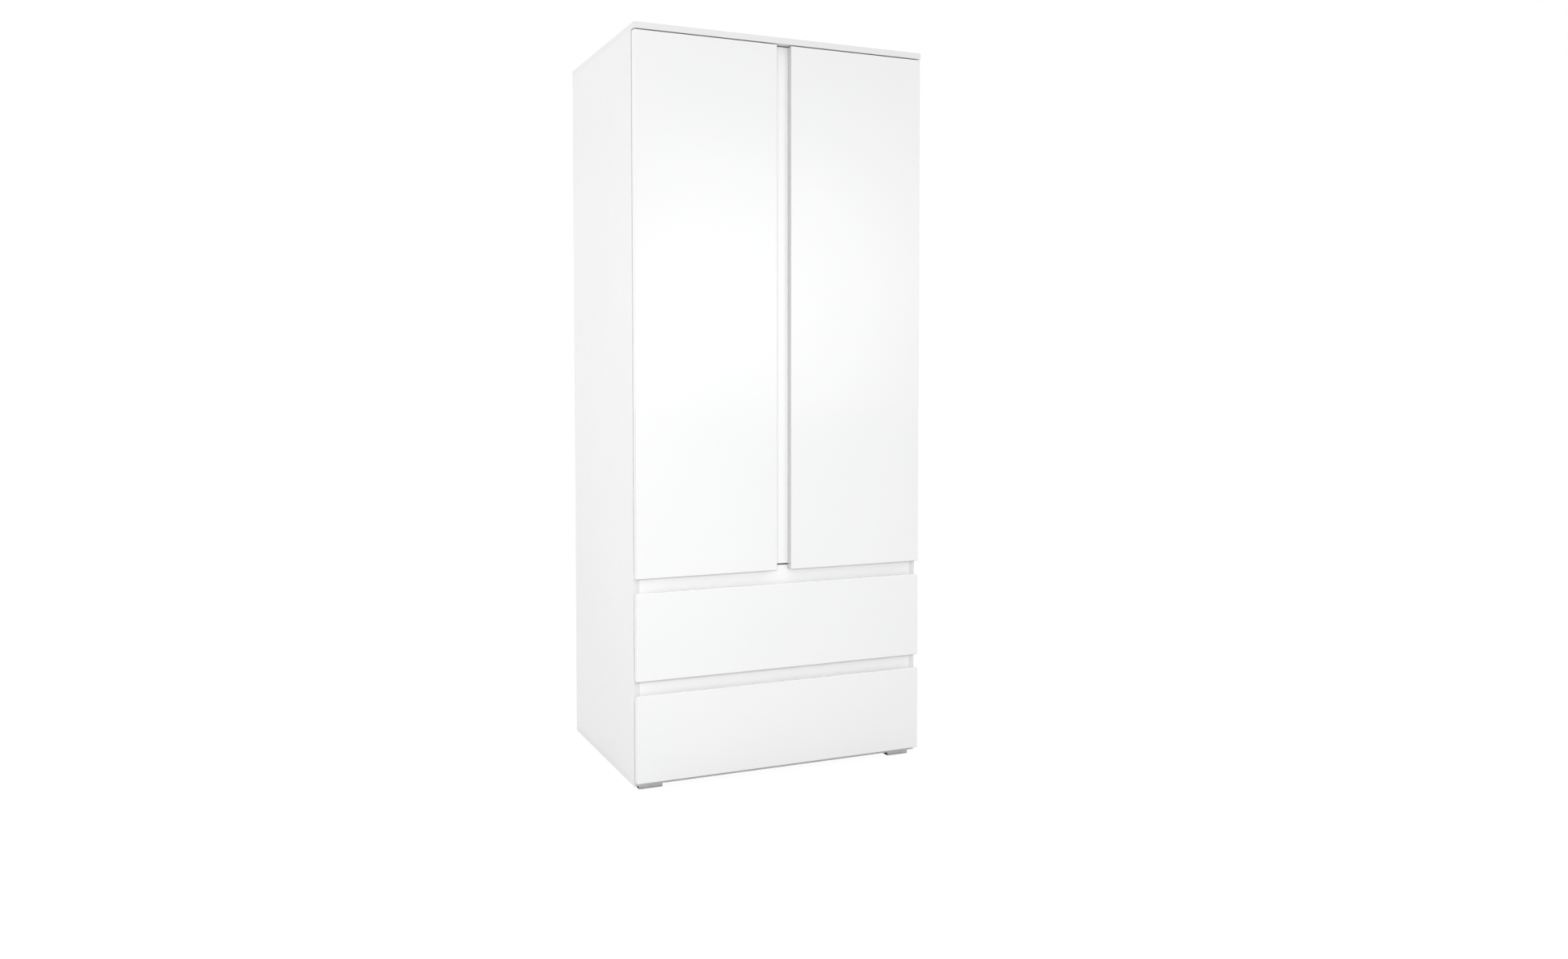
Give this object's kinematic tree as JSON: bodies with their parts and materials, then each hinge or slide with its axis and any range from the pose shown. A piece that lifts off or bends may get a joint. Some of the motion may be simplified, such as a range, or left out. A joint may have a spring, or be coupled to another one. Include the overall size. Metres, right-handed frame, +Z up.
{
  "type": "wardrobe with doors",
  "caption": "Free-standing white wardrobe: hinged doors above, drawers below, with finger grooves instead of handles and low metal feet.",
  "frame": {"origin": "on the floor, under the centre of the wardrobe's footprint", "axes": "+Z up, the fronts face -Y, +X to the right seen from the front"},
  "size_m": [0.82, 0.6, 1.95],
  "materials": {
    "gloss_front": "high gloss white foil on medium density board",
    "grip_strip": "satin white foil on board",
    "white_board": "satin white melamine on chipboard",
    "hardboard": "thin hardboard, white inside, brown outside",
    "white_plastic": "matt white",
    "foot_metal": "brushed, silver",
    "chrome_rail": "polished",
    "nickel": "bright nickel plate",
    "white_steel": "white powder coat",
    "nylon": "natural nylon",
    "beech": "raw beech",
    "soft_bumper": "translucent soft plastic",
    "zinc": "zinc plate"
  },
  "bodies": {
    "carcass": {"back_nails": "zinc", "back_panel_connector": "white_plastic", "back_panel_lower": "hardboard", "back_panel_upper": "hardboard", "bottom_panel": "white_board", "cabinet_runners_lower": "white_steel", "cabinet_runners_upper": "white_steel", "cam_bolts": "zinc", "cam_locks": "zinc", "clothes_rail": "chrome_rail", "clothes_rail_sockets": "nickel", "divider_shelf": "white_board", "dowels": "beech", "fitting_screws": "zinc", "foot_back_left": "foot_metal", "foot_back_right": "foot_metal", "foot_front_left": "foot_metal", "foot_front_right": "foot_metal", "foot_screws": "zinc", "grip_rail_lower": "grip_strip", "grip_rail_upper": "grip_strip", "hat_shelf": "white_board", "hinge_arms": "nickel", "hinge_plates": "nickel", "runner_screws": "zinc", "shelf_pins": "nickel", "side_panel_left": "white_board", "side_panel_right": "white_board", "top_panel": "white_board"},
    "door_left_body": {"door_left": "gloss_front", "hinge_cups_left": "nickel", "hinge_cup_screws_left": "zinc", "door_bumpers_left": "soft_bumper"},
    "door_right_body": {"door_right": "gloss_front", "hinge_cups_right": "nickel", "hinge_cup_screws_right": "zinc", "door_bumpers_right": "soft_bumper", "door_grip_strip": "grip_strip", "door_strip_screws": "zinc"},
    "hinge_links_left_body": {"hinge_links_left": "nickel"},
    "hinge_links_right_body": {"hinge_links_right": "nickel"},
    "drawer_upper_body": {"drawer_front_upper": "gloss_front", "drawer_side_upper_left": "white_board", "drawer_side_upper_right": "white_board", "drawer_back_upper": "white_board", "drawer_base_upper": "hardboard", "drawer_fasteners_upper": "zinc", "drawer_runners_upper": "white_steel"},
    "drawer_lower_body": {"drawer_front_lower": "gloss_front", "drawer_side_lower_left": "white_board", "drawer_side_lower_right": "white_board", "drawer_back_lower": "white_board", "drawer_base_lower": "hardboard", "drawer_fasteners_lower": "zinc", "drawer_runners_lower": "white_steel"},
    "front_rollers_upper_body": {"front_rollers_upper": "nylon"},
    "rear_rollers_upper_body": {"rear_rollers_upper": "nylon"},
    "front_rollers_lower_body": {"front_rollers_lower": "nylon"},
    "rear_rollers_lower_body": {"rear_rollers_lower": "nylon"}
  },
  "joints": [
    {"name": "door_left_swing", "type": "hinge", "parent": "carcass", "child": "door_left_body", "pos_m": [-0.401, -0.2895, 1.24], "axis": [0, 0, -1], "range_deg": [0, 100]},
    {"name": "door_right_swing", "type": "hinge", "parent": "carcass", "child": "door_right_body", "pos_m": [0.401, -0.2895, 1.24], "axis": [0, 0, 1], "range_deg": [0, 100]},
    {"name": "hinge_links_left_swing", "type": "hinge", "parent": "carcass", "child": "hinge_links_left_body", "pos_m": [-0.384, -0.28, 1.24], "axis": [0, 0, -1], "range_deg": [0, 90]},
    {"name": "hinge_links_right_swing", "type": "hinge", "parent": "carcass", "child": "hinge_links_right_body", "pos_m": [0.384, -0.28, 1.24], "axis": [0, 0, 1], "range_deg": [0, 90]},
    {"name": "drawer_upper_slide", "type": "slide", "parent": "carcass", "child": "drawer_upper_body", "axis": [0, -1, 0], "range_m": [0, 0.38]},
    {"name": "front_rollers_upper_spin", "type": "hinge", "parent": "carcass", "child": "front_rollers_upper_body", "pos_m": [0, -0.259, 0.3128], "axis": [1, 0, 0], "continuous": true},
    {"name": "rear_rollers_upper_spin", "type": "hinge", "parent": "drawer_upper_body", "child": "rear_rollers_upper_body", "pos_m": [0, 0.21, 0.3112], "axis": [1, 0, 0], "continuous": true},
    {"name": "drawer_lower_slide", "type": "slide", "parent": "carcass", "child": "drawer_lower_body", "axis": [0, -1, 0], "range_m": [0, 0.38]},
    {"name": "front_rollers_lower_spin", "type": "hinge", "parent": "carcass", "child": "front_rollers_lower_body", "pos_m": [0, -0.259, 0.0498], "axis": [1, 0, 0], "continuous": true},
    {"name": "rear_rollers_lower_spin", "type": "hinge", "parent": "drawer_lower_body", "child": "rear_rollers_lower_body", "pos_m": [0, 0.21, 0.0482], "axis": [1, 0, 0], "continuous": true}
  ],
  "couplings": [
    {"joint": "hinge_links_left_swing", "follows": "door_left_swing", "ratio": 0.9},
    {"joint": "hinge_links_right_swing", "follows": "door_right_swing", "ratio": 0.9},
    {"joint": "front_rollers_upper_spin", "follows": "drawer_upper_slide", "rad_per_m": 100},
    {"joint": "rear_rollers_upper_spin", "follows": "drawer_upper_slide", "rad_per_m": 100},
    {"joint": "front_rollers_lower_spin", "follows": "drawer_lower_slide", "rad_per_m": 100},
    {"joint": "rear_rollers_lower_spin", "follows": "drawer_lower_slide", "rad_per_m": 100}
  ]
}
